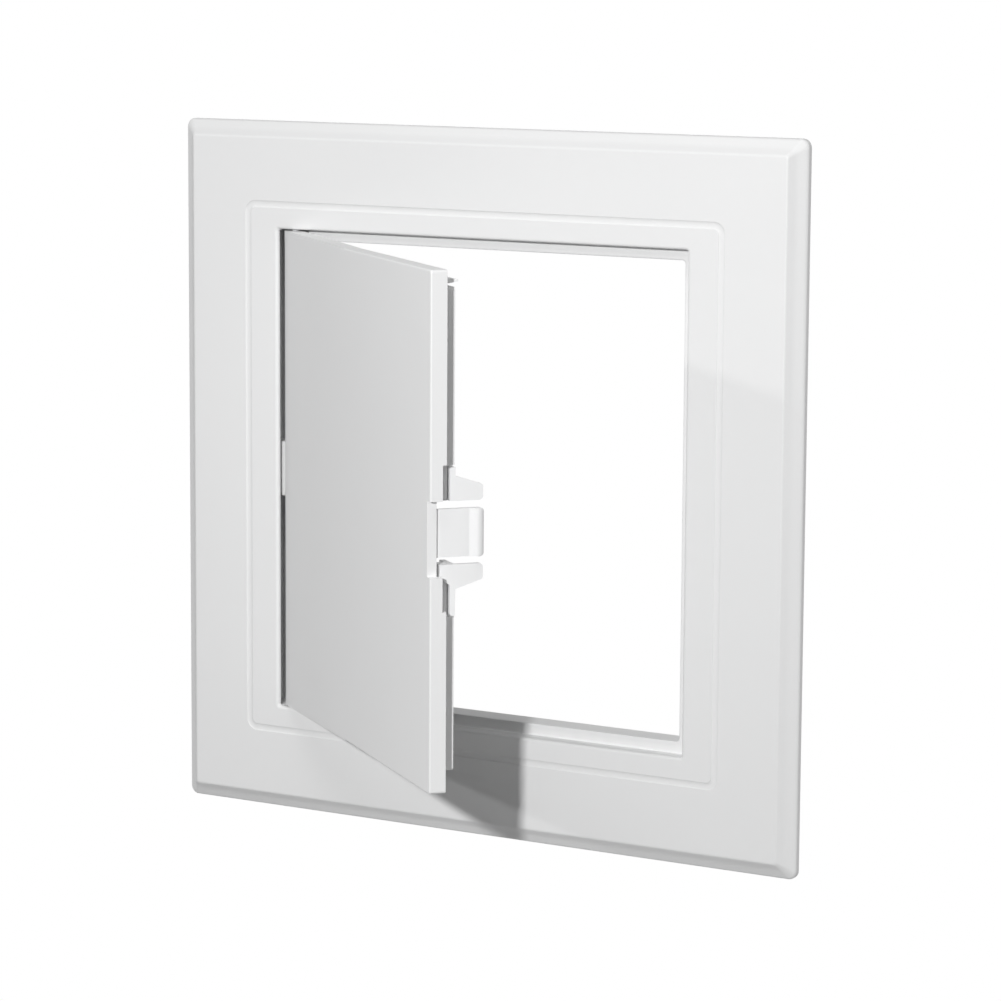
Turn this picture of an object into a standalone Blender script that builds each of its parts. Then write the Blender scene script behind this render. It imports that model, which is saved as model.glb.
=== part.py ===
"""Ceiling access panel: a flanged frame whose hinged door snaps shut on a springy tongue.

Units are metres. X runs across the panel, Z up it, and the visible face looks along -Y.
The origin is the centre of the opening, in the plane where the flange meets the ceiling board.
"""

import math

import bmesh
import bpy
from mathutils import Vector

MM = 0.001

# Frame: flange
flange_width = 216 * MM
flange_height = 216 * MM
face_rise = 5.85 * MM
flange_edge = 2.1 * MM
bevel_run = 4.8 * MM
flange_corner = 2.6 * MM
frame_wall = 2.0 * MM

# Frame: decorative groove around the opening
groove_width = 165.4 * MM
groove_height = 165.4 * MM
groove_mouth = 2.6 * MM
groove_depth = 0.28 * MM
groove_corner = 2.6 * MM

# Frame: opening, stop lip and collar
opening_width = 143 * MM
opening_height = 150 * MM
opening_corner = 0.9 * MM
opening_round = 0.4 * MM
rebate_depth = 5.2 * MM
lip_width = 3.5 * MM
collar_depth = 13.7 * MM

# Frame: channel beside the hinge, under the flange
channel_width = 5.0 * MM
channel_depth = 10.2 * MM
channel_skin = 1.2 * MM
channel_wall = 1.8 * MM

# Frame: ribs behind the flange
rib_thickness = 1.4 * MM
rib_setback = 0.5 * MM
ribs_per_side = 3

# Clearances
hinge_gap = 1.0 * MM
free_gap = 0.9 * MM
end_gap = 1.4 * MM
seat_gap = 0.3 * MM
swing_gap = 0.6 * MM
running_gap = 0.1 * MM
push_fit_gap = 0.1 * MM

# Door
door_open_angle = 39.1
barrel_radius = 3.5 * MM
plate_thickness = 2.8 * MM
door_round = 0.4 * MM
door_corner = 0.8 * MM
door_rim_wall = 2.2 * MM
skirt_inset = 5.3 * MM
skirt_hinge_inset = 8.5 * MM
skirt_wall = 1.6 * MM
skirt_depth = 9.0 * MM
corner_rib_inset = 2.6 * MM
corner_rib_height = 1.9 * MM
corner_rib_length = 8.0 * MM
corner_rib_reach = 9.8 * MM
knuckle_length = 12 * MM

# Hinge pins and the parts of the frame that hold them
pin_radius = 1.1 * MM
pin_in_door = 9.0 * MM
pin_head_radius = 2.4 * MM
pin_head_thickness = 1.0 * MM
boss_width = 9.0 * MM
boss_height = 3.0 * MM
cradle_length = 17 * MM

# Finger notch and the step beside it, in the door's free edge
notch_length = 21.4 * MM
notch_setback = 2.6 * MM
notch_offset = -1.5 * MM
relief_length = 41.3 * MM
relief_step = 1.2 * MM
relief_offset = -1.35 * MM

# Latch block behind the door
latch_setback = 3.6 * MM
latch_reach = 16.9 * MM
latch_offset = -0.25 * MM
block_length = 42 * MM
block_offset = -2.8 * MM
block_width = 9.0 * MM
block_start = 7.1 * MM
block_thickness = 1.6 * MM
block_foot_wall = 1.6 * MM
block_base = 1.0 * MM
finger_thickness = 1.5 * MM
finger_inner = 8.95 * MM
finger_root = 16.15 * MM
finger_tip = 13.7 * MM
finger_round = 1.1 * MM
web_depth = 4.1 * MM
web_width = 3.6 * MM

# Springy tongue
tongue_height = 13.6 * MM
tongue_thickness = 1.4 * MM
tongue_flex_depth = 4.2 * MM
hook_bite = 0.7 * MM
hook_gap = 0.25 * MM
hook_ramp = 2.4 * MM
nose_drop = 1.1 * MM
tongue_corner = 1.0 * MM

# Smoothness of curved stretches
corner_steps = 4
round_steps = 3
circle_steps = 32

# Places worked out from the sizes above
half_opening_x = opening_width / 2
half_opening_z = opening_height / 2
half_hole_x = half_opening_x - lip_width
half_hole_z = half_opening_z - lip_width
axis_x = -half_opening_x + hinge_gap + barrel_radius
axis_y = barrel_radius - face_rise
pocket_radius = barrel_radius + swing_gap
door_free = half_opening_x - free_gap - axis_x
door_half_height = half_opening_z - end_gap
door_rim_depth = rebate_depth - seat_gap
skirt_free = door_free - skirt_inset
latch_face = door_free - latch_setback
overlap = 0.5 * MM


def clear_scene():
    for item in list(bpy.data.objects):
        bpy.data.objects.remove(item, do_unlink=True)


def plastic(name, colour, roughness):
    material = bpy.data.materials.new(name)
    material.use_nodes = True
    shader = material.node_tree.nodes["Principled BSDF"]
    shader.inputs["Base Color"].default_value = (*colour, 1)
    shader.inputs["Roughness"].default_value = roughness
    shader.inputs["Metallic"].default_value = 0
    return material


def rounded_rectangle(left, right, bottom, top, y, radius, steps=corner_steps):
    """Points of a rounded rectangle in the plane at y, anticlockwise as seen from the front."""
    centres = [
        (right - radius, top - radius, 0),
        (left + radius, top - radius, 90),
        (left + radius, bottom + radius, 180),
        (right - radius, bottom + radius, 270),
    ]
    points = []
    for centre_x, centre_z, start in centres:
        for step in range(steps + 1):
            angle = math.radians(start + 90 * step / steps)
            x = centre_x + radius * math.cos(angle)
            z = centre_z + radius * math.sin(angle)
            points.append(Vector((x, y, z)))
    return points


def mesh_object(name, mesh, parent=None, location=(0, 0, 0), material=None):
    item = bpy.data.objects.new(name, mesh)
    bpy.context.scene.collection.objects.link(item)
    item.parent = parent
    item.location = location
    if material:
        item.data.materials.append(material)
    return item


def finish_mesh(shape, name):
    """Turn a bmesh into a mesh whose faces point out and whose rounded parts shade smooth."""
    bmesh.ops.recalc_face_normals(shape, faces=shape.faces)
    mesh = bpy.data.meshes.new(name)
    shape.to_mesh(mesh)
    shape.free()
    mesh.shade_smooth()
    mesh.set_sharp_from_angle(angle=math.radians(32))
    return mesh


def loft(name, rings, ring_closed=False):
    """Join rings of points into one skin: capped at both ends, or closed round onto itself."""
    shape = bmesh.new()
    loops = [[shape.verts.new(point) for point in ring] for ring in rings]
    pairs = list(zip(loops, loops[1:]))
    if ring_closed:
        pairs.append((loops[-1], loops[0]))
    else:
        shape.faces.new(loops[0])
        shape.faces.new(reversed(loops[-1]))
    for first, second in pairs:
        for index in range(len(first)):
            after = (index + 1) % len(first)
            shape.faces.new((first[index], first[after], second[after], second[index]))
    return finish_mesh(shape, name)


def box(name, low, high):
    """A block between two corners."""
    ring = [(low[0], low[2]), (high[0], low[2]), (high[0], high[2]), (low[0], high[2])]
    return loft(name, [[Vector((x, y, z)) for x, z in ring] for y in (low[1], high[1])])


def prism(name, outline, direction, start, end):
    """An outline extruded along X or Z. Its points are (Y, Z) along X, or (X, Y) along Z."""
    rings = []
    for place in (start, end):
        if direction == "X":
            rings.append([Vector((place, y, z)) for y, z in outline])
        else:
            rings.append([Vector((x, y, place)) for x, y in outline])
    return loft(name, rings)


def arc(centre, radius, start, end, steps):
    """Points along an arc, with angles in degrees from the first axis."""
    points = []
    for step in range(steps + 1):
        angle = math.radians(start + (end - start) * step / steps)
        x = centre[0] + radius * math.cos(angle)
        y = centre[1] + radius * math.sin(angle)
        points.append((x, y))
    return points


def cylinder(name, centre, radius, start, end):
    """A round bar along Z."""
    outline = arc(centre, radius, 0, 360 - 360 / circle_steps, circle_steps - 1)
    return prism(name, outline, "Z", start, end)


def helper(name, mesh, parent=None, location=(0, 0, 0)):
    """A shape that only adds to or cuts from another."""
    item = mesh_object(name, mesh, parent, location)
    item.hide_render = True
    item.display_type = "WIRE"
    return item


def boolean(target, helpers, operation):
    for item in helpers:
        modifier = target.modifiers.new(item.name, "BOOLEAN")
        modifier.operation = operation
        modifier.solver = "EXACT"
        modifier.object = item


def frame_ring(half_x, half_z, depth, radius):
    return rounded_rectangle(
        -half_x, half_x, -half_z, half_z, depth - face_rise, radius
    )


def frame_profile():
    """The moulding's wall, as rings from the flange's back edge round to the same edge inside."""
    outer_x, outer_z = flange_width / 2, flange_height / 2
    face_x, face_z = outer_x - bevel_run, outer_z - bevel_run
    face_corner = 0.9 * MM
    rings = [
        frame_ring(outer_x, outer_z, face_rise, flange_corner),
        frame_ring(outer_x, outer_z, face_rise - flange_edge, flange_corner),
        frame_ring(face_x, face_z, 0, face_corner),
    ]
    steps = 4
    for step in range(steps + 1):
        angle = math.pi * step / steps
        out = groove_mouth / 2 * math.cos(angle)
        depth = groove_depth * math.sin(angle)
        half_x, half_z = groove_width / 2 + out, groove_height / 2 + out
        rings.append(frame_ring(half_x, half_z, depth, groove_corner + out))
    for step in range(round_steps + 1):
        angle = math.pi / 2 * step / round_steps
        out = opening_round * (1 - math.sin(angle))
        depth = opening_round * (1 - math.cos(angle))
        half_x, half_z = half_opening_x + out, half_opening_z + out
        rings.append(frame_ring(half_x, half_z, depth, opening_corner + out))
    rebate_back = rebate_depth + frame_wall
    lip_round = 0.4 * MM
    wall_x, wall_z = half_opening_x + frame_wall, half_opening_z + frame_wall
    collar_x, collar_z = half_hole_x + frame_wall, half_hole_z + frame_wall
    inner_x, inner_z = outer_x - frame_wall, outer_z - frame_wall
    inside_corner = 1.2 * MM
    rings += [
        frame_ring(half_opening_x, half_opening_z, rebate_depth, opening_corner),
        frame_ring(half_hole_x + lip_round, half_hole_z + lip_round, rebate_depth, inside_corner),
        frame_ring(half_hole_x, half_hole_z, rebate_depth + lip_round, inside_corner),
        frame_ring(half_hole_x, half_hole_z, collar_depth, inside_corner),
        frame_ring(collar_x, collar_z, collar_depth, inside_corner + frame_wall),
        frame_ring(collar_x, collar_z, rebate_back, inside_corner + frame_wall),
        frame_ring(wall_x, wall_z, rebate_back, inside_corner + frame_wall),
        frame_ring(wall_x, wall_z, frame_wall, inside_corner + frame_wall),
        frame_ring(face_x, face_z, frame_wall, face_corner),
        frame_ring(inner_x, inner_z, face_rise - flange_edge + frame_wall / 2, face_corner),
        frame_ring(inner_x, inner_z, face_rise, face_corner),
    ]
    return rings


def rib_outline(start, end):
    """A rib across the hollow from the rebate wall to the outer rim, as (distance, Y) points."""
    skin = frame_wall - overlap - face_rise
    edge = frame_wall / 2 - flange_edge
    return [
        (start, -rib_setback),
        (end - frame_wall + overlap, -rib_setback),
        (end - frame_wall + overlap, edge - overlap / 2),
        (end - bevel_run, skin),
        (start, skin),
    ]


def flange_ribs():
    """Stiffening ribs that cross the hollow behind the flange, from the rim to the collar."""
    ribs = []
    sides = rib_outline(half_opening_x + frame_wall - overlap, flange_width / 2)
    ends = rib_outline(half_opening_z + frame_wall - overlap, flange_height / 2)
    for place in range(ribs_per_side):
        share = (place - (ribs_per_side - 1) / 2) / ribs_per_side
        for side in (-1, 1):
            low, high = share * opening_height - rib_thickness / 2, share * opening_height + rib_thickness / 2
            outline = [(side * x, y) for x, y in sides]
            ribs.append(helper("side_rib", prism("side_rib", outline, "Z", low, high)))
            low, high = share * opening_width - rib_thickness / 2, share * opening_width + rib_thickness / 2
            outline = [(y, side * z) for z, y in ends]
            ribs.append(helper("end_rib", prism("end_rib", outline, "X", low, high)))
    return ribs


def hinge_backing():
    """The moulding behind the hinge side, which the channel and the swing pocket are cut from."""
    left = -half_opening_x - channel_width - channel_wall
    wall = -half_opening_x - overlap
    right = -half_hole_x - overlap
    front = frame_wall - face_rise - overlap
    shelf = rebate_depth - face_rise + overlap
    back = channel_depth + channel_wall - face_rise
    reach = half_opening_z + frame_wall
    outline = [(left, front), (wall, front), (wall, shelf), (right, shelf), (right, back), (left, back)]
    return helper("hinge_backing", prism("hinge_backing", outline, "Z", -reach, reach))


def end_backing(side):
    """The moulding that closes the swing pocket above or below, behind the stop lip."""
    near = side * (half_hole_z + overlap)
    far = side * (half_opening_z + frame_wall)
    half = pocket_radius + channel_wall
    low = (axis_x - half, rebate_depth + overlap - face_rise, min(near, far))
    high = (axis_x + half, axis_y + pocket_radius + channel_wall, max(near, far))
    return helper(f"end_backing_{side}", box("end_backing", low, high))


def hinge_channel():
    """The deep channel beside the door's rounded edge, which the flange's thin edge half covers."""
    reach = half_opening_z - seat_gap
    low = (-half_opening_x - channel_width, channel_skin - face_rise, -reach)
    high = (-half_opening_x + hinge_gap, channel_depth - face_rise, reach)
    return helper("hinge_channel", box("hinge_channel", low, high))


def pivot_boss(side):
    """The block above or below the opening that the hinge pin turns in."""
    near = side * (half_opening_z + frame_wall - overlap)
    far = side * (half_opening_z + frame_wall + boss_height)
    low = (axis_x - boss_width / 2, frame_wall - face_rise - overlap, min(near, far))
    high = (axis_x + boss_width / 2, rebate_depth + frame_wall - face_rise, max(near, far))
    return helper(f"pivot_boss_{side}", box("pivot_boss", low, high))


def swing_pocket():
    """The scoop that the door's rounded hinge edge turns in, behind the stop lip's front."""
    chord = rebate_depth - barrel_radius - 1.0 * MM
    start = math.degrees(math.asin(chord / pocket_radius))
    outline = arc((axis_x, axis_y), pocket_radius, start, 180 - start, 16)
    reach = half_opening_z + seat_gap
    return helper("swing_pocket", prism("swing_pocket", outline, "Z", -reach, reach))


def pivot_hole(side):
    near = side * (door_half_height - overlap)
    far = side * (half_opening_z + frame_wall + boss_height + overlap)
    radius = pin_radius + push_fit_gap
    bar = cylinder("pivot_hole", (axis_x, axis_y), radius, min(near, far), max(near, far))
    return helper(f"pivot_hole_{side}", bar)


def hinge_cradle():
    """The saddle that fills the channel half way up and keeps the door's edge from bowing."""
    radius = barrel_radius + seat_gap
    wall = -half_opening_x - channel_width - overlap
    outline = arc((axis_x, axis_y), radius, 180, 105, 12)
    ledge = axis_y + pocket_radius + overlap
    back = channel_depth + overlap - face_rise
    step = -half_opening_x + hinge_gap + overlap
    outline += [(axis_x + radius * math.cos(math.radians(105)), ledge), (step, ledge)]
    outline += [(step, back), (wall, back), (wall, axis_y)]
    mesh = prism("hinge_cradle", outline, "Z", -cradle_length / 2, cradle_length / 2)
    return helper("hinge_cradle", mesh)


def make_frame():
    white = plastic("frame_white", (0.83, 0.84, 0.84), 0.34)
    frame = mesh_object("frame", loft("frame", frame_profile(), ring_closed=True), material=white)
    boolean(frame, flange_ribs(), "UNION")
    boolean(frame, [hinge_backing(), end_backing(-1), end_backing(1)], "UNION")
    boolean(frame, [pivot_boss(-1), pivot_boss(1)], "UNION")
    boolean(frame, [hinge_channel(), swing_pocket(), pivot_hole(-1), pivot_hole(1)], "DIFFERENCE")
    boolean(frame, [hinge_cradle()], "UNION")
    return frame


def door_ring(inset, hinge_edge, depth, radius):
    """A ring round the door. The hinge edge is measured from the hinge axis."""
    return rounded_rectangle(
        hinge_edge,
        door_free - inset,
        inset - door_half_height,
        door_half_height - inset,
        depth - barrel_radius,
        radius,
    )


def barrel_edge(depth):
    """How far the rounded hinge edge stands from the axis at a depth behind the face."""
    return -math.sqrt(max(barrel_radius**2 - (barrel_radius - depth) ** 2, 0))


def door_profile():
    rings = []
    for step in range(round_steps + 1):
        angle = math.pi / 2 * step / round_steps
        inset = door_round * (1 - math.sin(angle))
        depth = door_round * (1 - math.cos(angle))
        rings.append(door_ring(inset, barrel_edge(depth), depth, door_corner))
    turns = 5
    for step in range(1, turns + 1):
        depth = door_round + (door_rim_depth - door_round) * step / turns
        rings.append(door_ring(0, barrel_edge(depth), depth, door_corner))
    channel = barrel_edge(door_rim_depth) + door_rim_wall
    skirt_edge = skirt_hinge_inset - barrel_radius
    inner_edge = skirt_edge + skirt_wall
    rings += [
        door_ring(door_rim_wall, channel, door_rim_depth, door_corner),
        door_ring(door_rim_wall, channel, plate_thickness, door_corner),
        door_ring(skirt_inset, skirt_edge, plate_thickness, door_corner),
        door_ring(skirt_inset, skirt_edge, skirt_depth, door_corner),
        door_ring(skirt_inset + skirt_wall, inner_edge, skirt_depth, door_corner),
        door_ring(skirt_inset + skirt_wall, inner_edge, plate_thickness, door_corner),
    ]
    return rings


def hinge_knuckle(parent, side):
    near = side * (door_half_height - knuckle_length)
    far = side * (half_opening_z - seat_gap)
    radius = barrel_radius - 0.2 * MM
    bar = cylinder("hinge_knuckle", (0, 0), radius, min(near, far), max(near, far))
    return helper(f"hinge_knuckle_{side}", bar, parent)


def pin_bore(parent, side):
    near = side * (door_half_height - pin_in_door - running_gap)
    far = side * (half_opening_z + overlap)
    bar = cylinder("pin_bore", (0, 0), pin_radius + running_gap, min(near, far), max(near, far))
    return helper(f"pin_bore_{side}", bar, parent)


def corner_rib(parent):
    """A short rib behind the upper free corner, tapered towards its end."""
    root, tip = plate_thickness - overlap - barrel_radius, corner_rib_reach - barrel_radius
    top = door_half_height - corner_rib_inset
    low = top - corner_rib_height
    taper = corner_rib_height / 3
    shoulder = door_rim_depth - barrel_radius
    outline = [(root, low), (shoulder, low), (tip, low + taper), (tip, top - taper), (shoulder, top), (root, top)]
    mesh = prism("corner_rib", outline, "X", skirt_free - corner_rib_length, skirt_free)
    return helper("corner_rib", mesh, parent)


def arc_corner(corner, radius, step_y, step_z):
    """A rounded corner of an outline, running from its Y edge to its Z edge."""
    centre_y = corner[0] + step_y * radius
    centre_z = corner[1] + step_z * radius
    points = []
    for step in range(round_steps + 1):
        angle = math.pi / 2 * step / round_steps
        y = centre_y - step_y * radius * math.sin(angle)
        z = centre_z - step_z * radius * math.cos(angle)
        points.append((y, z))
    return points


def latch_cuts(parent):
    """The finger notch, the step beside it, and the places cut in the skirt for the latch."""
    outside = door_free + overlap
    shallow = -barrel_radius - overlap
    deep = skirt_depth - barrel_radius + overlap
    rim = door_rim_depth - barrel_radius
    skirt_low, skirt_high = skirt_free - skirt_wall - overlap, skirt_free + overlap
    half_seat = block_length / 2 + seat_gap
    cuts = [
        box(
            "finger_notch",
            (door_free - notch_setback, shallow, notch_offset - notch_length / 2),
            (outside, rim + overlap, notch_offset + notch_length / 2),
        ),
        box(
            "rim_relief",
            (door_free - door_rim_wall - overlap, rim - relief_step, relief_offset - relief_length / 2),
            (outside, rim + overlap, relief_offset + relief_length / 2),
        ),
        box(
            "block_seat",
            (skirt_low, block_start - seat_gap - barrel_radius, block_offset - half_seat),
            (skirt_high, deep, block_offset + half_seat),
        ),
        box(
            "tongue_gap",
            (skirt_low, plate_thickness + 0.4 * MM - barrel_radius, latch_offset - finger_inner),
            (skirt_high, deep, latch_offset + finger_inner),
        ),
    ]
    return [helper(mesh.name, mesh, parent) for mesh in cuts]


def make_door(pivot):
    white = plastic("door_white", (0.83, 0.84, 0.84), 0.36)
    door = mesh_object("door_panel", loft("door_panel", door_profile()), pivot, material=white)
    boolean(door, [hinge_knuckle(pivot, -1), hinge_knuckle(pivot, 1), corner_rib(pivot)], "UNION")
    boolean(door, [pin_bore(pivot, -1), pin_bore(pivot, 1)], "DIFFERENCE")
    boolean(door, latch_cuts(pivot), "DIFFERENCE")
    return door


def make_pin(name, side):
    """A push-in pin held by the boss, whose plain end the door turns on.

    The head is flat on the side that faces the flange's skin.
    """
    head = half_opening_z + frame_wall + boss_height + seat_gap
    head_front = frame_wall + seat_gap - barrel_radius
    places = [
        (door_half_height - pin_in_door, pin_radius - 0.3 * MM),
        (door_half_height - pin_in_door + 0.5 * MM, pin_radius),
        (head, pin_radius),
        (head, pin_head_radius),
        (head + pin_head_thickness, pin_head_radius - 0.2 * MM),
    ]
    rings = []
    for place, radius in places:
        circle = arc((0, 0), radius, 0, 360 - 360 / circle_steps, circle_steps - 1)
        rings.append([Vector((x, max(y, head_front), side * place)) for x, y in circle])
    colour = plastic(f"{name}_white", (0.80, 0.81, 0.81), 0.4)
    return mesh_object(name, loft(name, rings), None, (axis_x, axis_y, 0), colour)


def guide_finger(parent, side):
    """A tapered finger that stands on the latch block beside the tongue."""
    root = block_start + block_thickness - overlap - barrel_radius
    tip = latch_reach - barrel_radius
    inner = latch_offset + side * finger_inner
    outline = [(root, inner)]
    outline += arc_corner((tip, inner), finger_round, -1, side)
    outline += reversed(arc_corner((tip, latch_offset + side * finger_tip), finger_round, -1, -side))
    outline += [(root, latch_offset + side * finger_root)]
    low = latch_face - finger_thickness
    mesh = prism("guide_finger", outline, "X", low, latch_face)
    return helper(f"guide_finger_{side}", mesh, parent)


def guide_web(parent):
    """The lower finger's web, which runs forward past the block with its corner cut off."""
    start, end = web_depth - barrel_radius, block_start + overlap - barrel_radius
    inner = latch_offset - finger_inner
    far = inner - web_width
    cut = block_start - web_depth
    outline = [(start, inner), (end, inner), (end, far - cut * 0.75)]
    outline += [(end - overlap, far - cut * 0.75), (start, far)]
    low = latch_face - finger_thickness
    return helper("guide_web", prism("guide_web", outline, "X", low, latch_face), parent)


def make_block(pivot):
    """Two plates beside the tongue on one base, so that the space behind the tongue is open."""
    white = plastic("latch_white", (0.84, 0.85, 0.85), 0.34)
    near, far = block_start - barrel_radius, block_start + block_thickness - barrel_radius
    low, high = block_offset - block_length / 2, block_offset + block_length / 2
    plate = box("latch_block", (latch_face - block_width, near, low), (latch_face, far, high))
    block = mesh_object("latch_block", plate, pivot, material=white)
    seat = plate_thickness + seat_gap - barrel_radius
    foot_high = skirt_free - skirt_wall - seat_gap
    foot_low, foot_top = low + block_length / 8, high - block_length / 8
    foot = box(
        "block_foot",
        (foot_high - block_foot_wall, seat, foot_low),
        (foot_high, near + overlap, foot_top),
    )
    base = box(
        "block_base",
        (foot_high - block_foot_wall * 2.5, seat, foot_low),
        (foot_high - overlap, seat + block_base, foot_top),
    )
    window = box(
        "tongue_window",
        (latch_face - block_width - overlap, seat + block_base, latch_offset - finger_inner),
        (latch_face + overlap, far + overlap, latch_offset + finger_inner),
    )
    boolean(block, [helper("block_foot", foot, pivot), helper("block_base", base, pivot)], "UNION")
    boolean(block, [helper("tongue_window", window, pivot)], "DIFFERENCE")
    boolean(block, [guide_web(pivot), guide_finger(pivot, -1), guide_finger(pivot, 1)], "UNION")
    return block


def tongue_outline(reach):
    """The tongue's section about the flex axis: foot, ramp up to the hook, and rounded nose."""
    outer = tongue_thickness / 2
    foot = plate_thickness + seat_gap
    play = latch_setback + free_gap - lip_width
    bulge = play + hook_bite
    ramp_start = collar_depth + hook_gap - hook_ramp * play / bulge
    widest = ramp_start + hook_ramp
    points = [(-outer, foot), (outer, foot), (outer, ramp_start)]
    for step in range(round_steps + 1):
        share = step / round_steps
        points.append((outer + bulge - nose_drop * share**2, widest + (reach - widest) * share))
    points.append((-outer, reach))
    return [(x, depth - tongue_flex_depth) for x, depth in points]


def make_tongue(pivot):
    """The tongue, whose end has rounded corners above and below."""
    white = plastic("tongue_white", (0.84, 0.85, 0.85), 0.34)
    place = (latch_face - tongue_thickness / 2, tongue_flex_depth - barrel_radius, latch_offset)
    turns = list(range(round_steps + 1))
    rings = []
    for side, order in ((-1, turns), (1, reversed(turns))):
        for step in order:
            angle = math.pi / 2 * step / round_steps
            z = side * (tongue_height / 2 - tongue_corner * (1 - math.cos(angle)))
            reach = latch_reach - tongue_corner * (1 - math.sin(angle))
            rings.append([Vector((x, y, z)) for x, y in tongue_outline(reach)])
    return mesh_object("latch_tongue", loft("latch_tongue", rings), pivot, place, white)


def make_pivot():
    """The hinge axis that the door, its pins and the tongue turn about."""
    pivot = bpy.data.objects.new("door_pivot", None)
    bpy.context.scene.collection.objects.link(pivot)
    pivot.empty_display_size = 10 * MM
    pivot.location = (axis_x, axis_y, 0)
    pivot.rotation_euler.z = -math.radians(door_open_angle)
    return pivot


def main():
    clear_scene()
    make_frame()
    pivot = make_pivot()
    make_door(pivot)
    make_pin("upper_hinge_pin", 1)
    make_pin("lower_hinge_pin", -1)
    make_block(pivot)
    make_tongue(pivot)


main()
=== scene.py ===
"""Looks of the ceiling access panel: its mouldings, plastics, light and camera.

Units are metres. X runs across the panel, Z up it, and the visible face looks along -Y.
"""

import math

import bmesh
import bpy
from mathutils import Matrix, Vector

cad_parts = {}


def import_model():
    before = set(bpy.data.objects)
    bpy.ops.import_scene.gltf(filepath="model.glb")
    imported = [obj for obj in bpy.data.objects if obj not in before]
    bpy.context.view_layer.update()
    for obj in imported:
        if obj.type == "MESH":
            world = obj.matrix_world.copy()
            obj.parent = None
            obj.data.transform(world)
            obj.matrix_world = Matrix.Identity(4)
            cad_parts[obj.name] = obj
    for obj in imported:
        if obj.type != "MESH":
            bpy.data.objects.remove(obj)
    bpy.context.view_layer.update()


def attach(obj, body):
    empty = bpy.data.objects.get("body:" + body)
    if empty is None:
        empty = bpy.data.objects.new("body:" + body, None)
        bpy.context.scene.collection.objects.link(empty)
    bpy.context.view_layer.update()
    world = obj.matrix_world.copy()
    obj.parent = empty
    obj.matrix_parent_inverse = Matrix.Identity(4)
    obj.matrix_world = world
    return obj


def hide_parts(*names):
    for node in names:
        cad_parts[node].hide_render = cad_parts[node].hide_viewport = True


MM = 0.001

# Flange
flange_half = 108 * MM
face_rise = 5.85 * MM
flange_edge = 2.1 * MM
bevel_run = 4.8 * MM
bevel_hollow = 0.1
flange_corner = 2.6 * MM
frame_wall = 2.0 * MM
flange_inner_corner = 0.9 * MM
bevel_middle_corner = 1.6 * MM
bevel_foot_round = 0.7 * MM
bevel_middle_round = 0.9 * MM
bevel_head_round = 0.5 * MM
back_round = 0.3 * MM

# Groove around the opening
groove_half = 82.5 * MM
groove_mouth = 2.1 * MM
groove_depth = 0.28 * MM
groove_corner = 2.6 * MM
groove_lip_round = 0.15 * MM

# Opening, stop lip and collar
opening_half_x = 71.5 * MM
opening_half_z = 75 * MM
opening_corner = 0.9 * MM
opening_round = 1.2 * MM
rebate_depth = 5.2 * MM
lip_width = 3.5 * MM
collar_depth = 13.7 * MM
collar_corner = 1.2 * MM

# Channel beside the hinge, under the flange
channel_width = 5.0 * MM
channel_depth = 10.2 * MM
channel_skin = 1.2 * MM
channel_wall = 1.8 * MM

# Ribs behind the flange
rib_thickness = 1.4 * MM
rib_setback = 0.5 * MM
ribs_per_side = 3

# Clearances
hinge_gap = 1.0 * MM
free_gap = 0.9 * MM
end_gap = 1.4 * MM
seat_gap = 0.3 * MM
swing_gap = 0.6 * MM
running_gap = 0.1 * MM

# Door
door_open_angle = 39.1
barrel_radius = 3.5 * MM
face_round = 0.5 * MM
plate_thickness = 2.8 * MM
door_corner = 0.8 * MM
door_rim_wall = 2.2 * MM
skirt_inset = 5.3 * MM
skirt_hinge_inset = 8.5 * MM
skirt_wall = 1.6 * MM
skirt_depth = 9.0 * MM
corner_rib_inset = 2.6 * MM
corner_rib_height = 1.9 * MM
corner_rib_length = 8.0 * MM
corner_rib_reach = 9.8 * MM

# The barrel's ends, and the rim's rise towards them
knuckle_length = 12 * MM
knuckle_rise = 0.9 * MM
knuckle_inset = 0.2 * MM
knuckle_round = 0.9 * MM
knuckle_back = 0.1 * MM
rise_run = 60 * MM
rise_root = 2 * MM
rise_start = -0.8 * MM
rise_setback = 0.03 * MM

# Hinge pins and what holds them
pin_radius = 1.1 * MM
pin_in_door = 9.0 * MM
pin_head_radius = 2.4 * MM
pin_head_thickness = 1.0 * MM
boss_width = 9.0 * MM
boss_height = 3.0 * MM
cradle_length = 17 * MM
cradle_end_angle = 105
pocket_rise = 1.0 * MM
pin_tip_chamfer = 0.3 * MM
pin_tip_length = 0.5 * MM
pin_head_chamfer = 0.25 * MM

# Finger notch and the step beside it
notch_length = 21.4 * MM
notch_setback = 2.6 * MM
notch_offset = -1.5 * MM
relief_length = 41.3 * MM
relief_step = 1.2 * MM
relief_offset = -1.35 * MM
tongue_gap_floor = 0.4 * MM

# Latch block
latch_setback = 3.6 * MM
latch_reach = 16.9 * MM
latch_offset = -0.25 * MM
block_length = 42 * MM
block_offset = -2.8 * MM
block_width = 9.0 * MM
block_start = 7.1 * MM
block_thickness = 1.6 * MM
block_foot_wall = 1.6 * MM
block_base = 1.0 * MM
finger_thickness = 1.5 * MM
finger_inner = 8.95 * MM
finger_root = 16.15 * MM
finger_tip = 13.7 * MM
finger_round = 1.1 * MM
web_depth = 4.1 * MM
web_width = 3.6 * MM
web_slope = 0.75

# Springy tongue
tongue_height = 13.6 * MM
tongue_thickness = 1.4 * MM
hook_bite = 0.7 * MM
hook_gap = 0.25 * MM
hook_ramp = 2.4 * MM
nose_drop = 1.1 * MM
tongue_corner = 1.0 * MM

# Smoothness
corner_steps = 10
soft_steps = 5
circle_steps = 64
groove_steps = 8
face_steps = 8
barrel_steps = 18
knuckle_steps = 6
finger_steps = 6
pocket_steps = 40
cradle_steps = 30
hook_steps = 10
tongue_steps = 6

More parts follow.
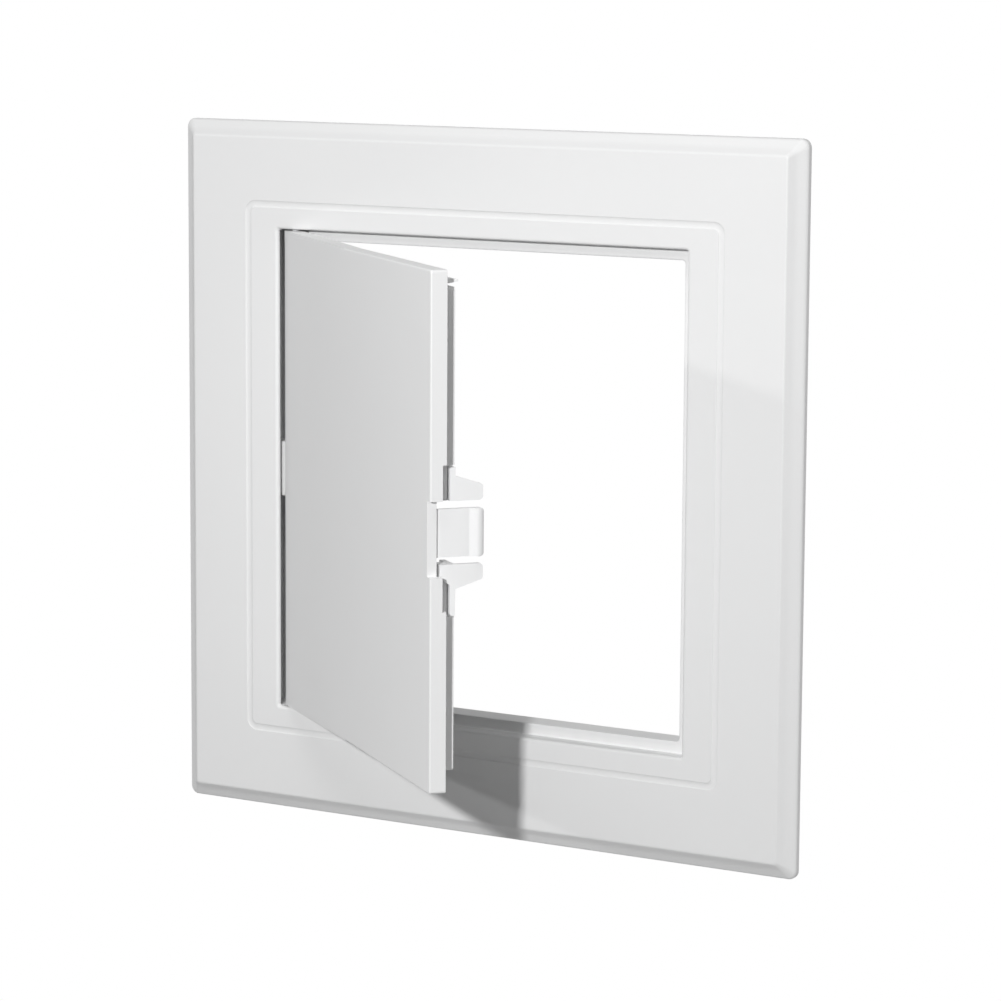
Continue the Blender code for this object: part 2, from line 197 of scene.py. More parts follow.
# Edges and shading, with angles in degrees
frame_edge_round = 0.12 * MM
pin_edge_round = 0.05 * MM
door_edge_round = 0.15 * MM
edge_segments = 2
crisp_angle = 38
shading_angle = 50
shading_weight = 80
wide_face = 300 * MM * MM

# Plastics
cloud_scale = 28
flow_scale = 75
grain_scale = 1400
ripple_share = 4
bump_strength = 0.5
bump_height = 0.004 * MM

# Studio
floor_radius = 1.15
floor_drop = 0.50
floor_tone = 0.86
floor_roughness = 0.9
fade_start = 0.35
fade_end = 1.1
world_light = 0

# Lamps: name, direction, distance and size in metres, power in watts
lamps = [
    ("key_lamp", (0.275, -0.91, 0.255), 0.95, 0.035, 6.2),
    ("left_lamp", (-1.0, -1.0, 0.573), 2.26, 0.08, 6.0),
    ("near_top_softbox", (0.05, -0.45, 0.9), 0.8, 0.4, 1.95),
    ("right_back_softbox", (0.95, 0.3, 0.15), 1.3, 0.6, 5.1),
]

# Camera, with angles in degrees
camera_yaw = 30.73
camera_pitch = 8.38
camera_roll = 0.35
camera_distance = 1133.16 * MM
camera_right = 4.81 * MM
camera_down = 4.57 * MM
focal_pixels = 3738.5
picture_pixels = 1001
sensor_width = 36

# Places worked out from the sizes above
hole_half_x = opening_half_x - lip_width
hole_half_z = opening_half_z - lip_width
axis_x = -opening_half_x + hinge_gap + barrel_radius
axis_y = barrel_radius - face_rise
pocket_radius = barrel_radius + swing_gap
door_free = opening_half_x - free_gap - axis_x
door_half_height = opening_half_z - end_gap
door_rim_depth = rebate_depth - seat_gap
skirt_free = door_free - skirt_inset
latch_face = door_free - latch_setback
overlap = 0.5 * MM
door_place = Matrix.Translation((axis_x, axis_y, 0)) @ Matrix.Rotation(-math.radians(door_open_angle), 4, "Z")


# Mesh makers


def shape_to_mesh(shape, name):
    bmesh.ops.recalc_face_normals(shape, faces=shape.faces)
    mesh = bpy.data.meshes.new(name)
    shape.to_mesh(mesh)
    shape.free()
    return mesh


def loft(name, rings, ring_closed=False):
    """Join rings of points into one skin: capped at both ends, or closed round onto itself."""
    shape = bmesh.new()
    loops = [[shape.verts.new(point) for point in ring] for ring in rings]
    pairs = list(zip(loops, loops[1:]))
    if ring_closed:
        pairs.append((loops[-1], loops[0]))
    else:
        shape.faces.new(loops[0])
        shape.faces.new(reversed(loops[-1]))
    for first, second in pairs:
        for index in range(len(first)):
            after = (index + 1) % len(first)
            shape.faces.new((first[index], first[after], second[after], second[index]))
    return shape_to_mesh(shape, name)


def rounded_rectangle(left, right, half_z, y, radius):
    centres = [
        (right - radius, half_z - radius, 0),
        (left + radius, half_z - radius, 90),
        (left + radius, radius - half_z, 180),
        (right - radius, radius - half_z, 270),
    ]
    points = []
    for centre_x, centre_z, start in centres:
        for step in range(corner_steps + 1):
            angle = math.radians(start + 90 * step / corner_steps)
            x = centre_x + radius * math.cos(angle)
            z = centre_z + radius * math.sin(angle)
            points.append(Vector((x, y, z)))
    return points


def soften(stations, closed=False):
    """Round each station of a section by the distance it gives last.

    A station is (left, right, half height, depth, corner radius, rounding).
    """
    result = []
    count = len(stations)
    for index, station in enumerate(stations):
        *here, rounding = station
        is_end = not closed and index in (0, count - 1)
        if is_end or rounding <= 0:
            result.append(tuple(here))
            continue
        arms = []
        for other in (stations[index - 1], stations[(index + 1) % count]):
            away = [b - a for a, b in zip(here, other[:5])]
            length = math.hypot(max(abs(away[1]), abs(away[2])), away[3])
            share = min(rounding / length, 0.48)
            arms.append([a + share * d for a, d in zip(here, away)])
        for step in range(soft_steps + 1):
            t = step / soft_steps
            blend = [
                (1 - t) ** 2 * a + 2 * t * (1 - t) * b + t * t * c
                for a, b, c in zip(arms[0], here, arms[1])
            ]
            result.append(tuple(blend))
    return result


def box(name, low, high):
    ring = [(low[0], low[2]), (high[0], low[2]), (high[0], high[2]), (low[0], high[2])]
    return loft(name, [[Vector((x, y, z)) for x, z in ring] for y in (low[1], high[1])])


def prism(name, outline, direction, start, end):
    """An outline extruded along X or Z. Its points are (Y, Z) along X, or (X, Y) along Z."""
    rings = []
    for place in (start, end):
        if direction == "X":
            rings.append([Vector((place, y, z)) for y, z in outline])
        else:
            rings.append([Vector((x, y, place)) for x, y in outline])
    return loft(name, rings)


def arc(centre, radius, start, end, steps):
    points = []
    for step in range(steps + 1):
        angle = math.radians(start + (end - start) * step / steps)
        points.append((centre[0] + radius * math.cos(angle), centre[1] + radius * math.sin(angle)))
    return points


def arc_corner(corner, radius, step_y, step_z):
    centre_y = corner[0] + step_y * radius
    centre_z = corner[1] + step_z * radius
    points = []
    for step in range(finger_steps + 1):
        angle = math.pi / 2 * step / finger_steps
        y = centre_y - step_y * radius * math.sin(angle)
        z = centre_z - step_z * radius * math.cos(angle)
        points.append((y, z))
    return points


def circle(centre, radius):
    return arc(centre, radius, 0, 360 - 360 / circle_steps, circle_steps - 1)


def cylinder(name, centre, radius, start, end):
    return prism(name, circle(centre, radius), "Z", min(start, end), max(start, end))


def new_object(name, data):
    item = bpy.data.objects.new(name, data)
    bpy.context.scene.collection.objects.link(item)
    return item


def carve(item, joined=(), cut=(), joined_last=()):
    """Add and cut other meshes, one Boolean for each, and return the tools, which are dropped once applied.
    """
    tools = []
    for meshes, operation in ((joined, "UNION"), (cut, "DIFFERENCE"), (joined_last, "UNION")):
        for mesh in meshes:
            tool = new_object(f"tool_{mesh.name}", mesh)
            tools.append(tool)
            modifier = item.modifiers.new(tool.name, "BOOLEAN")
            modifier.operation = operation
            modifier.solver = "EXACT"
            modifier.object = tool
    return tools


def keep_flat(mesh):
    """Shade each wide face evenly, whatever the small faces around it do."""
    sharp = mesh.attributes["sharp_edge"].data
    for polygon in mesh.polygons:
        if polygon.area > wide_face:
            for loop in polygon.loop_indices:
                sharp[mesh.loops[loop].edge_index].value = True


def finish_piece(item, edge_round, tools, place=None):
    """Round the crisp edges, apply everything, and put the piece where it belongs."""
    bevel = item.modifiers.new("edge_round", "BEVEL")
    bevel.width = edge_round
    bevel.segments = edge_segments
    bevel.limit_method = "ANGLE"
    bevel.angle_limit = math.radians(crisp_angle)
    bevel.use_clamp_overlap = True
    bevel.miter_outer = "MITER_ARC"
    graph = bpy.context.evaluated_depsgraph_get()
    graph.update()
    mesh = bpy.data.meshes.new_from_object(item.evaluated_get(graph))
    item.modifiers.clear()
    old = item.data
    item.data = mesh
    bpy.data.meshes.remove(old)
    for tool in tools:
        bpy.data.objects.remove(tool, do_unlink=True)
    if place:
        item.data.transform(place)
    item.data.shade_smooth()
    item.data.set_sharp_from_angle(angle=math.radians(shading_angle))
    keep_flat(item.data)
    weighted = item.modifiers.new("even_shading", "WEIGHTED_NORMAL")
    weighted.keep_sharp = True
    weighted.weight = shading_weight


def dress(item, material, body, node):
    item.data.materials.clear()
    item.data.materials.append(material)
    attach(item, body)
    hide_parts(node)


# Frame moulding


def frame_station(half_x, half_z, depth, corner, rounding=0):
    return (-half_x, half_x, half_z, depth, corner, rounding)


def frame_section():
    face = flange_half - bevel_run
    slope = face_rise - flange_edge
    middle = face + (0.5 - bevel_hollow) * bevel_run
    inner = flange_half - frame_wall
    rebate_back = rebate_depth + frame_wall
    wall_x, wall_z = opening_half_x + frame_wall, opening_half_z + frame_wall
    collar_x, collar_z = hole_half_x + frame_wall, hole_half_z + frame_wall
    wide = collar_corner + frame_wall
    stations = [
        frame_station(flange_half, flange_half, face_rise, flange_corner, 0.2 * MM),
        frame_station(flange_half, flange_half, slope, flange_corner, bevel_foot_round),
        frame_station(middle, middle, slope * 0.5, bevel_middle_corner, bevel_middle_round),
        frame_station(face, face, 0, flange_inner_corner, bevel_head_round),
    ]
    for step in range(groove_steps + 1):
        angle = math.pi * step / groove_steps
        out = groove_mouth / 2 * math.cos(angle)
        depth = groove_depth * math.sin(angle)
        half = groove_half + out
        rounding = groove_lip_round if step in (0, groove_steps) else 0
        stations.append(frame_station(half, half, depth, groove_corner + out, rounding))
    stations += [
        frame_station(opening_half_x, opening_half_z, 0, opening_corner, opening_round),
        frame_station(opening_half_x, opening_half_z, rebate_depth, opening_corner, 0.25 * MM),
        frame_station(hole_half_x, hole_half_z, rebate_depth, collar_corner, 0.45 * MM),
        frame_station(hole_half_x, hole_half_z, collar_depth, collar_corner, 0.4 * MM),
        frame_station(collar_x, collar_z, collar_depth, wide, back_round),
        frame_station(collar_x, collar_z, rebate_back, wide, back_round),
        frame_station(wall_x, wall_z, rebate_back, wide, back_round),
        frame_station(wall_x, wall_z, frame_wall, wide, back_round),
        frame_station(face, face, frame_wall, flange_inner_corner, 0.4 * MM),
        frame_station(inner, inner, slope + frame_wall / 2, flange_inner_corner, back_round),
        frame_station(inner, inner, face_rise, flange_inner_corner, 0.2 * MM),
    ]
    return soften(stations, closed=True)


def rib_outline(start, end):
    skin = frame_wall - overlap - face_rise
    edge = frame_wall / 2 - flange_edge
    return [
        (start, -rib_setback),
        (end - frame_wall + overlap, -rib_setback),
        (end - frame_wall + overlap, edge - overlap / 2),
        (end - bevel_run, skin),
        (start, skin),
    ]


def rib_meshes():
    ribs = []
    half = rib_thickness / 2
    sides = rib_outline(opening_half_x + frame_wall - overlap, flange_half)
    ends = rib_outline(opening_half_z + frame_wall - overlap, flange_half)
    for place in range(ribs_per_side):
        share = (place - (ribs_per_side - 1) / 2) / ribs_per_side
        for side in (-1, 1):
            at = share * 2 * opening_half_z
            ribs.append(prism("rib", [(side * x, y) for x, y in sides], "Z", at - half, at + half))
            at = share * 2 * opening_half_x
            ribs.append(prism("rib", [(y, side * z) for z, y in ends], "X", at - half, at + half))
    return ribs


def pivot_boss(side):
    near = side * (opening_half_z + frame_wall - overlap)
    far = side * (opening_half_z + frame_wall + boss_height)
    low = (axis_x - boss_width / 2, frame_wall - face_rise - overlap, min(near, far))
    high = (axis_x + boss_width / 2, rebate_depth + frame_wall - face_rise, max(near, far))
    return box("pivot_boss", low, high)


def swing_pocket():
    chord = rebate_depth - barrel_radius - pocket_rise
    start = math.degrees(math.asin(chord / pocket_radius))
    outline = arc((axis_x, axis_y), pocket_radius, start, 180 - start, pocket_steps)
    reach = opening_half_z + seat_gap
    return prism("swing_pocket", outline, "Z", -reach, reach)


def hinge_backing():
    """The moulding behind the hinge side, which the channel and the swing pocket are cut from."""
    left = -opening_half_x - channel_width - channel_wall
    wall = -opening_half_x - overlap
    right = -hole_half_x - overlap
    front = frame_wall - face_rise - overlap
    shelf = rebate_depth - face_rise + overlap
    back = channel_depth + channel_wall - face_rise
    reach = opening_half_z + frame_wall
    outline = [(left, front), (wall, front), (wall, shelf), (right, shelf), (right, back), (left, back)]
    return prism("hinge_backing", outline, "Z", -reach, reach)


def end_backing(side):
    """The moulding that closes the swing pocket above or below, behind the stop lip."""
    near = side * (hole_half_z + overlap)
    far = side * (opening_half_z + frame_wall)
    half = pocket_radius + channel_wall
    low = (axis_x - half, rebate_depth + overlap - face_rise, min(near, far))
    high = (axis_x + half, axis_y + pocket_radius + channel_wall, max(near, far))
    return box("end_backing", low, high)


def hinge_channel():
    """The deep channel beside the door's rounded edge, which the flange's thin edge half covers."""
    reach = opening_half_z - seat_gap
    low = (-opening_half_x - channel_width, channel_skin - face_rise, -reach)
    high = (-opening_half_x + hinge_gap, channel_depth - face_rise, reach)
    return box("hinge_channel", low, high)


def hinge_cradle():
    """The saddle that fills the channel half way up and keeps the door's edge from bowing."""
    radius = barrel_radius + seat_gap
    wall = -opening_half_x - channel_width - overlap
    ledge = axis_y + pocket_radius + overlap
    back = channel_depth + overlap - face_rise
    step = -opening_half_x + hinge_gap + overlap
    outline = arc((axis_x, axis_y), radius, 180, cradle_end_angle, cradle_steps)
    outline += [(axis_x + radius * math.cos(math.radians(cradle_end_angle)), ledge), (step, ledge)]
    outline += [(step, back), (wall, back), (wall, axis_y)]
    return prism("hinge_cradle", outline, "Z", -cradle_length / 2, cradle_length / 2)


def pivot_hole(side):
    near = side * (door_half_height - overlap)
    far = side * (opening_half_z + frame_wall + boss_height + overlap)
    return cylinder("pivot_hole", (axis_x, axis_y), pin_radius + running_gap, near, far)


def make_frame(material):
    rings = [
        rounded_rectangle(left, right, half_z, depth - face_rise, corner)
        for left, right, half_z, depth, corner in frame_section()
    ]
    frame = new_object("frame_moulding", loft("frame_moulding", rings, ring_closed=True))
    joined = rib_meshes() + [hinge_backing()]
    joined += [end_backing(-1), end_backing(1), pivot_boss(-1), pivot_boss(1)]
    cut = [hinge_channel(), swing_pocket(), pivot_hole(-1), pivot_hole(1)]
    tools = carve(frame, joined, cut, [hinge_cradle()])
    finish_piece(frame, frame_edge_round, tools)
    dress(frame, material, "frame", "frame")


def make_pin(node, side, material):
    name = f"{node}_stub"
    head = opening_half_z + frame_wall + boss_height + seat_gap
    head_front = frame_wall + seat_gap - barrel_radius
    places = [
        (door_half_height - pin_in_door, pin_radius - pin_tip_chamfer),
        (door_half_height - pin_in_door + pin_tip_length, pin_radius),
        (head, pin_radius),
        (head, pin_head_radius),
        (head + pin_head_thickness - pin_head_chamfer, pin_head_radius),
        (head + pin_head_thickness, pin_head_radius - pin_head_chamfer),
    ]
    rings = []
    for place, radius in places:
        rings.append([Vector((x, max(y, head_front), side * place)) for x, y in circle((0, 0), radius)])
    pin = new_object(name, loft(name, rings))
    finish_piece(pin, pin_edge_round, (), Matrix.Translation((axis_x, axis_y, 0)))
    dress(pin, material, "frame", node)


# Door moulding


def barrel_edge(depth):
    return -math.sqrt(max(barrel_radius**2 - (barrel_radius - depth) ** 2, 0))


def door_station(inset, hinge_edge, depth, rounding=0):
    return (hinge_edge, door_free - inset, door_half_height - inset, depth, door_corner, rounding)


def door_section():
    """The face with its rounded edge, the barrel, the rim, and the skirt behind."""
    stations = []
    for step in range(face_steps + 1):
        angle = math.pi / 2 * step / face_steps
        inset = face_round * (1 - math.sin(angle))
        depth = face_round * (1 - math.cos(angle))
        stations.append(door_station(inset, barrel_edge(depth), depth))
    for step in range(1, barrel_steps + 1):
        depth = face_round + (door_rim_depth - face_round) * step / barrel_steps
        rounding = 0.25 * MM if step == barrel_steps else 0
        stations.append(door_station(0, barrel_edge(depth), depth, rounding))
    channel = barrel_edge(door_rim_depth) + door_rim_wall
    skirt_edge = skirt_hinge_inset - barrel_radius
    inner_edge = skirt_edge + skirt_wall
    stations += [
        door_station(door_rim_wall, channel, door_rim_depth, 0.2 * MM),
        door_station(door_rim_wall, channel, plate_thickness, 0.2 * MM),
        door_station(skirt_inset, skirt_edge, plate_thickness, 0.2 * MM),
        door_station(skirt_inset, skirt_edge, skirt_depth, 0.3 * MM),
        door_station(skirt_inset + skirt_wall, inner_edge, skirt_depth, 0.3 * MM),
        door_station(skirt_inset + skirt_wall, inner_edge, plate_thickness),
    ]
    return soften(stations)


def door_knuckle(side):
    """The barrel's end beside the door, with its outer edge rounded."""
    radius = barrel_radius - knuckle_inset
    end = door_half_height + knuckle_rise - knuckle_back
    places = [(door_half_height - knuckle_length, radius)]
    for step in range(knuckle_steps + 1):
        angle = math.pi / 2 * step / knuckle_steps
        place = end - knuckle_round * (1 - math.sin(angle))
        places.append((place, radius - knuckle_round * (1 - math.cos(angle))))
    rings = []
    for place, size in places:
        rings.append([Vector((x, y, side * place)) for x, y in circle((0, 0), size)])
    return loft("door_knuckle", rings)


def hinge_rise(side):
    """The rim's slight rise towards the hinge, which carries the face on over the barrel's end."""
    edge = side * (door_half_height - rise_root)
    foot = side * door_half_height
    peak = side * (door_half_height + knuckle_rise)
    outline = [(rise_start, edge), (rise_run, edge), (rise_run, foot)]
    outline += [(barrel_radius, peak), (rise_start, peak)]
    front = rise_setback - barrel_radius
    back = door_rim_depth - barrel_radius
    return loft("hinge_rise", [[Vector((x, y, z)) for x, z in outline] for y in (front, back)])


def pin_bore(side):
    near = side * (door_half_height - pin_in_door - running_gap)
    far = side * (opening_half_z + overlap)
    return cylinder("pin_bore", (0, 0), pin_radius + running_gap, near, far)


def corner_rib():
    """A short rib behind the upper free corner, tapered towards its end."""
    root, tip = plate_thickness - overlap - barrel_radius, corner_rib_reach - barrel_radius
    top = door_half_height - corner_rib_inset
    low = top - corner_rib_height
    taper = corner_rib_height / 3
    shoulder = door_rim_depth - barrel_radius
    outline = [(root, low), (shoulder, low), (tip, low + taper)]
    outline += [(tip, top - taper), (shoulder, top), (root, top)]
    return prism("corner_rib", outline, "X", skirt_free - corner_rib_length, skirt_free)


def latch_cuts():
    outside = door_free + overlap
    shallow = -barrel_radius - overlap
    deep = skirt_depth - barrel_radius + overlap
    rim = door_rim_depth - barrel_radius
    skirt_low, skirt_high = skirt_free - skirt_wall - overlap, skirt_free + overlap
    half_seat = block_length / 2 + seat_gap
    return [
        box(
            "finger_notch",
            (door_free - notch_setback, shallow, notch_offset - notch_length / 2),
            (outside, rim + overlap, notch_offset + notch_length / 2),
        ),
        box(
            "rim_relief",
            (door_free - door_rim_wall - overlap, rim - relief_step, relief_offset - relief_length / 2),
            (outside, rim + overlap, relief_offset + relief_length / 2),
        ),
        box(
            "block_seat",
            (skirt_low, block_start - seat_gap - barrel_radius, block_offset - half_seat),
            (skirt_high, deep, block_offset + half_seat),
        ),
        box(
            "tongue_gap",
            (skirt_low, plate_thickness + tongue_gap_floor - barrel_radius, latch_offset - finger_inner),
            (skirt_high, deep, latch_offset + finger_inner),
        ),
    ]


def make_door(material):
    rings = [
        rounded_rectangle(left, right, half_z, depth - barrel_radius, corner)
        for left, right, half_z, depth, corner in door_section()
    ]
    door = new_object("door_moulding", loft("door_moulding", rings))
    cut = [pin_bore(-1), pin_bore(1)] + latch_cuts()
    joined = [door_knuckle(-1), door_knuckle(1), hinge_rise(-1), hinge_rise(1), corner_rib()]
    tools = carve(door, joined, cut)
    finish_piece(door, door_edge_round, tools, door_place)
    dress(door, material, "door", "door_panel")


# Latch


def guide_finger(side):
    root = block_start + block_thickness - overlap - barrel_radius
    tip = latch_reach - barrel_radius
    inner = latch_offset + side * finger_inner
    outline = [(root, inner)]
    outline += arc_corner((tip, inner), finger_round, -1, side)
    outline += reversed(arc_corner((tip, latch_offset + side * finger_tip), finger_round, -1, -side))
    outline.append((root, latch_offset + side * finger_root))
    return prism("guide_finger", outline, "X", latch_face - finger_thickness, latch_face)


def guide_web():
    start, end = web_depth - barrel_radius, block_start + overlap - barrel_radius
    inner = latch_offset - finger_inner
    far = inner - web_width
    cut = block_start - web_depth
    outline = [(start, inner), (end, inner), (end, far - cut * web_slope)]
    outline += [(end - overlap, far - cut * web_slope), (start, far)]
    return prism("guide_web", outline, "X", latch_face - finger_thickness, latch_face)


def make_block(material):
    """Two plates beside the tongue on one base, so that the space behind the tongue is open."""
    near, far = block_start - barrel_radius, block_start + block_thickness - barrel_radius
    low, high = block_offset - block_length / 2, block_offset + block_length / 2
    block = new_object(
        "latch_body",
        box("latch_body", (latch_face - block_width, near, low), (latch_face, far, high)),
    )
    seat = plate_thickness + seat_gap - barrel_radius
    foot_high = skirt_free - skirt_wall - seat_gap
    foot_low, foot_top = low + block_length / 8, high - block_length / 8
    foot = box(
        "block_foot",
        (foot_high - block_foot_wall, seat, foot_low),
        (foot_high, near + overlap, foot_top),
    )
    base = box(
        "block_base",
        (foot_high - block_foot_wall * 2.5, seat, foot_low),
        (foot_high - overlap, seat + block_base, foot_top),
    )
    window = box(
        "tongue_window",
        (latch_face - block_width - overlap, seat + block_base, latch_offset - finger_inner),
        (latch_face + overlap, far + overlap, latch_offset + finger_inner),
    )
    tools = carve(block, [foot, base], [window], [guide_web(), guide_finger(-1), guide_finger(1)])
    finish_piece(block, door_edge_round, tools, door_place)
    dress(block, material, "door", "latch_block")


def tongue_outline(reach):
    """Foot, straight blade, ramp up to the hook, and the rounded nose."""
    outer, inner = latch_face, latch_face - tongue_thickness
    play = latch_setback + free_gap - lip_width
    bulge = play + hook_bite
    ramp_start = collar_depth + hook_gap - hook_ramp * play / bulge
    widest = ramp_start + hook_ramp
    foot = plate_thickness + seat_gap
    points = [(inner, foot), (outer, foot)]
    for step in range(hook_steps + 1):
        share = step / hook_steps
        points.append((outer + bulge * share * share * (3 - 2 * share), ramp_start + hook_ramp * share))
    for step in range(1, hook_steps + 1):
        share = step / hook_steps
        points.append((outer + bulge - nose_drop * share * share, widest + (reach - widest) * share))
    points.append((inner, reach))
    return [(x, depth - barrel_radius) for x, depth in points]


def make_tongue(material):
    """The tongue, whose end has rounded corners above and below."""
    turns = list(range(tongue_steps + 1))
    rings = []
    for side, order in ((-1, turns), (1, reversed(turns))):
        for step in order:
            angle = math.pi / 2 * step / tongue_steps
            z = latch_offset + side * (tongue_height / 2 - tongue_corner * (1 - math.cos(angle)))
            reach = latch_reach - tongue_corner * (1 - math.sin(angle))
            rings.append([Vector((x, y, z)) for x, y in tongue_outline(reach)])
    tongue = new_object("snap_tongue", loft("tongue", rings))
    finish_piece(tongue, door_edge_round, (), door_place)
    dress(tongue, material, "tongue", "latch_tongue")


# Plastics


def add_socket(group, name, kind, direction, value=None):
    socket = group.interface.new_socket(name=name, in_out=direction, socket_type=kind)
    if value is not None:
        socket.default_value = value


def add_noise(group, place, scale, detail):
    noise = group.nodes.new("ShaderNodeTexNoise")
    noise.inputs["Scale"].default_value = scale
    noise.inputs["Detail"].default_value = detail
    group.links.new(place.outputs["Object"], noise.inputs["Vector"])
    return noise


def add_centred(group, noise):
    """The noise moved down by half, so that it swings about zero."""
    centred = group.nodes.new("ShaderNodeMath")
    centred.operation = "SUBTRACT"
    centred.inputs[1].default_value = 0.5
    group.links.new(noise.outputs["Fac"], centred.inputs[0])
    return centred.outputs[0]


def moulded_plastic_group():
    """Faint cloudiness, sheen changes and a fine moulded grain, the same on every piece."""
    group = bpy.data.node_groups.new("moulded_plastic", "ShaderNodeTree")
    add_socket(group, "Colour", "NodeSocketColor", "INPUT", (0.8, 0.8, 0.8, 1))
    add_socket(group, "Cloudiness", "NodeSocketFloat", "INPUT", 0.02)
    add_socket(group, "Roughness", "NodeSocketFloat", "INPUT", 0.35)
    add_socket(group, "Sheen change", "NodeSocketFloat", "INPUT", 0.05)
    add_socket(group, "Grain scale", "NodeSocketFloat", "INPUT", grain_scale)
    add_socket(group, "Colour", "NodeSocketColor", "OUTPUT")
    add_socket(group, "Roughness", "NodeSocketFloat", "OUTPUT")
    add_socket(group, "Height", "NodeSocketFloat", "OUTPUT")
    nodes, links = group.nodes, group.links
    entry = nodes.new("NodeGroupInput")
    leave = nodes.new("NodeGroupOutput")
    place = nodes.new("ShaderNodeTexCoord")
    cloud = add_noise(group, place, cloud_scale, 3)
    tone = nodes.new("ShaderNodeMath")
    tone.operation = "MULTIPLY_ADD"
    tone.inputs[2].default_value = 1
    links.new(add_centred(group, cloud), tone.inputs[0])
    links.new(entry.outputs["Cloudiness"], tone.inputs[1])
    tinted = nodes.new("ShaderNodeVectorMath")
    tinted.operation = "SCALE"
    links.new(entry.outputs["Colour"], tinted.inputs[0])
    links.new(tone.outputs[0], tinted.inputs["Scale"])
    links.new(tinted.outputs[0], leave.inputs["Colour"])
    flow = add_noise(group, place, flow_scale, 4)
    rough = nodes.new("ShaderNodeMath")
    rough.operation = "MULTIPLY_ADD"
    links.new(add_centred(group, flow), rough.inputs[0])
    links.new(entry.outputs["Sheen change"], rough.inputs[1])
    links.new(entry.outputs["Roughness"], rough.inputs[2])
    links.new(rough.outputs[0], leave.inputs["Roughness"])
    grain = add_noise(group, place, grain_scale, 2)
    links.new(entry.outputs["Grain scale"], grain.inputs["Scale"])
    ripple = nodes.new("ShaderNodeMath")
    ripple.operation = "MULTIPLY_ADD"
    ripple.inputs[1].default_value = ripple_share
    links.new(cloud.outputs["Fac"], ripple.inputs[0])
    links.new(grain.outputs["Fac"], ripple.inputs[2])
    links.new(ripple.outputs[0], leave.inputs["Height"])
    return group


def plastic(name, group, colour, roughness, reflectance):
    material = bpy.data.materials.new(name)
    material.use_nodes = True
    nodes, links = material.node_tree.nodes, material.node_tree.links
    shader = nodes["Principled BSDF"]
    shader.inputs["IOR"].default_value = 1.5
    shader.inputs["Specular IOR Level"].default_value = reflectance
    look = nodes.new("ShaderNodeGroup")
    look.node_tree = group
    look.inputs["Colour"].default_value = (*colour, 1)
    look.inputs["Roughness"].default_value = roughness
    look.inputs["Grain scale"].default_value = grain_scale
    bump = nodes.new("ShaderNodeBump")
    bump.inputs["Strength"].default_value = bump_strength
    bump.inputs["Distance"].default_value = bump_height
    links.new(look.outputs["Colour"], shader.inputs["Base Color"])
    links.new(look.outputs["Roughness"], shader.inputs["Roughness"])
    links.new(look.outputs["Height"], bump.inputs["Height"])
    links.new(bump.outputs["Normal"], shader.inputs["Normal"])
    return material


# Studio


def make_floor():
    """A pale floor below the panel that fades into the white surroundings."""
    shape = bmesh.new()
    bmesh.ops.create_circle(shape, cap_ends=True, segments=96, radius=floor_radius)
    floor = new_object("studio_floor", shape_to_mesh(shape, "studio_floor"))
    floor.location.z = -floor_drop
    material = bpy.data.materials.new("floor_white")
    material.use_nodes = True
    nodes, links = material.node_tree.nodes, material.node_tree.links
    shader = nodes["Principled BSDF"]
    shader.inputs["Base Color"].default_value = (floor_tone, floor_tone, floor_tone, 1)
    shader.inputs["Roughness"].default_value = floor_roughness
    place = nodes.new("ShaderNodeTexCoord")
    distance = nodes.new("ShaderNodeVectorMath")
    distance.operation = "LENGTH"
    links.new(place.outputs["Object"], distance.inputs[0])
    fade = nodes.new("ShaderNodeMapRange")
    fade.interpolation_type = "SMOOTHSTEP"
    fade.inputs["From Min"].default_value = fade_start
    fade.inputs["From Max"].default_value = fade_end
    fade.inputs["To Min"].default_value = 1
    fade.inputs["To Max"].default_value = 0
    links.new(distance.outputs["Value"], fade.inputs["Value"])
    links.new(fade.outputs["Result"], shader.inputs["Alpha"])
    floor.data.materials.append(material)


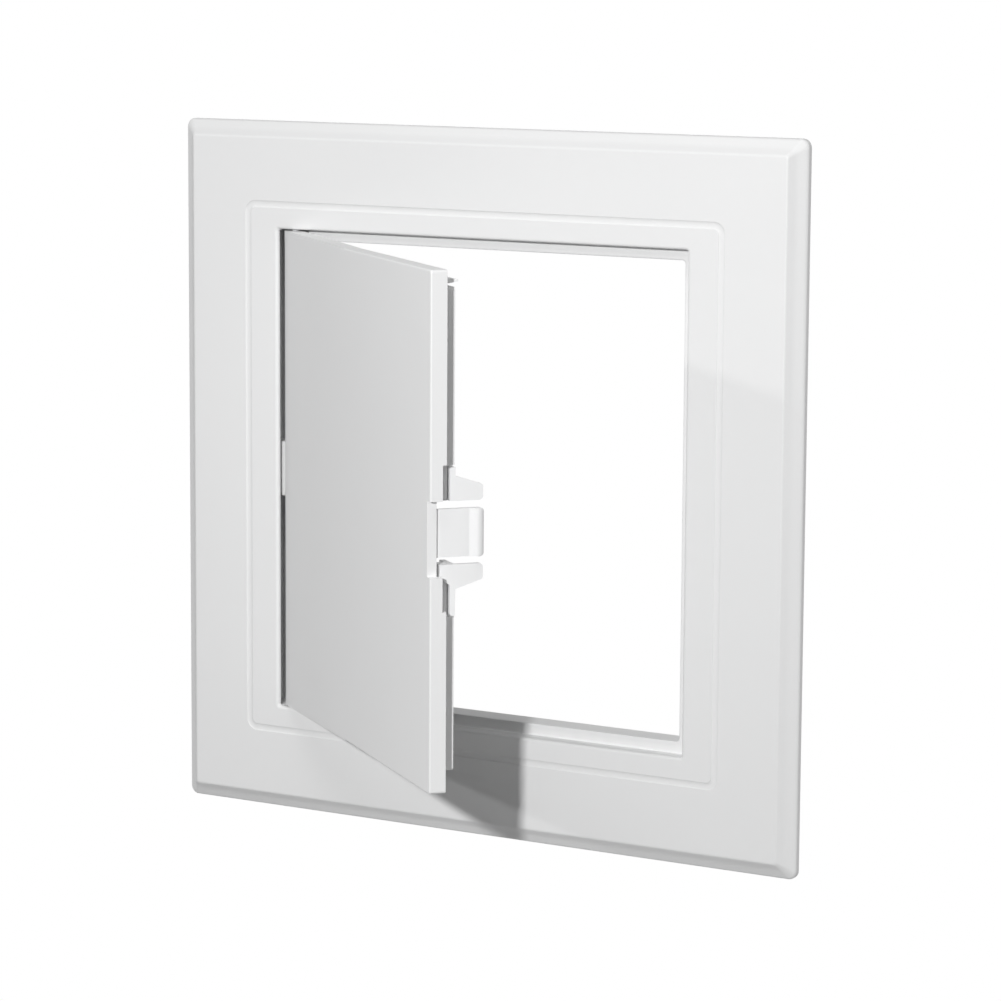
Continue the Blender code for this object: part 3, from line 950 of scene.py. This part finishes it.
def make_world():
    """White to the camera, in reflections and through glass. Matt surfaces get no light from it."""
    world = bpy.data.worlds.new("studio_white")
    bpy.context.scene.world = world
    world.use_nodes = True
    nodes, links = world.node_tree.nodes, world.node_tree.links
    background = nodes["Background"]
    background.inputs["Color"].default_value = (1, 1, 1, 1)
    rays = nodes.new("ShaderNodeLightPath")
    mirrored = nodes.new("ShaderNodeMath")
    mirrored.operation = "MAXIMUM"
    links.new(rays.outputs["Is Glossy Ray"], mirrored.inputs[0])
    links.new(rays.outputs["Is Transmission Ray"], mirrored.inputs[1])
    seen = nodes.new("ShaderNodeMath")
    seen.operation = "MAXIMUM"
    links.new(rays.outputs["Is Camera Ray"], seen.inputs[0])
    links.new(mirrored.outputs[0], seen.inputs[1])
    level = nodes.new("ShaderNodeMapRange")
    level.inputs["To Min"].default_value = world_light
    level.inputs["To Max"].default_value = 1
    links.new(seen.outputs[0], level.inputs["Value"])
    links.new(level.outputs["Result"], background.inputs["Strength"])


def make_lamp(name, direction, distance, size, power):
    """A square softbox that looks at the middle of the panel."""
    data = bpy.data.lights.new(name, "AREA")
    data.shape = "SQUARE"
    data.size = size
    data.energy = power
    lamp = new_object(name, data)
    towards = Vector(direction).normalized()
    lamp.location = towards * distance
    lamp.rotation_euler = towards.to_track_quat("Z", "Y").to_euler()


def make_camera():
    """The photograph's viewpoint: well to the right of the panel and a little above it."""
    yaw, pitch = math.radians(camera_yaw), math.radians(camera_pitch)
    roll = math.radians(camera_roll)
    level = math.cos(pitch)
    back = Vector((math.sin(yaw) * level, -math.cos(yaw) * level, math.sin(pitch)))
    right = (-back).cross(Vector((0, 0, 1))).normalized()
    up = right.cross(-back)
    place = back * camera_distance + right * camera_right - up * camera_down
    level_right = right * math.cos(roll) + up * math.sin(roll)
    level_up = up * math.cos(roll) - right * math.sin(roll)
    turn = Matrix((level_right, level_up, back)).transposed()
    data = bpy.data.cameras.new("photo_camera")
    data.sensor_width = sensor_width
    data.lens = sensor_width * focal_pixels / picture_pixels
    data.clip_start = 0.05
    camera = new_object("photo_camera", data)
    camera.matrix_world = Matrix.Translation(place) @ turn.to_4x4()
    bpy.context.scene.camera = camera


def main():
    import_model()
    group = moulded_plastic_group()
    # All four are one white plastic. The lighter door and latch tones are painted light on their faces, and
    # the darker pin tone is painted shade on the pins.
    frame_white = plastic("frame_white_plastic", group, (0.80, 0.802, 0.803), 0.42, 0.3)
    door_white = plastic("door_white_plastic", group, (0.825, 0.827, 0.828), 0.38, 0.5)
    latch_white = plastic("latch_white_plastic", group, (0.86, 0.863, 0.866), 0.40, 0.4)
    pin_white = plastic("pin_white_plastic", group, (0.78, 0.783, 0.785), 0.42, 0.4)
    make_frame(frame_white)
    make_pin("upper_hinge_pin", 1, pin_white)
    make_pin("lower_hinge_pin", -1, pin_white)
    make_door(door_white)
    make_block(latch_white)
    make_tongue(latch_white)
    make_floor()
    make_world()
    for lamp in lamps:
        make_lamp(*lamp)
    make_camera()
    bpy.context.scene.view_settings.view_transform = "Standard"


main()
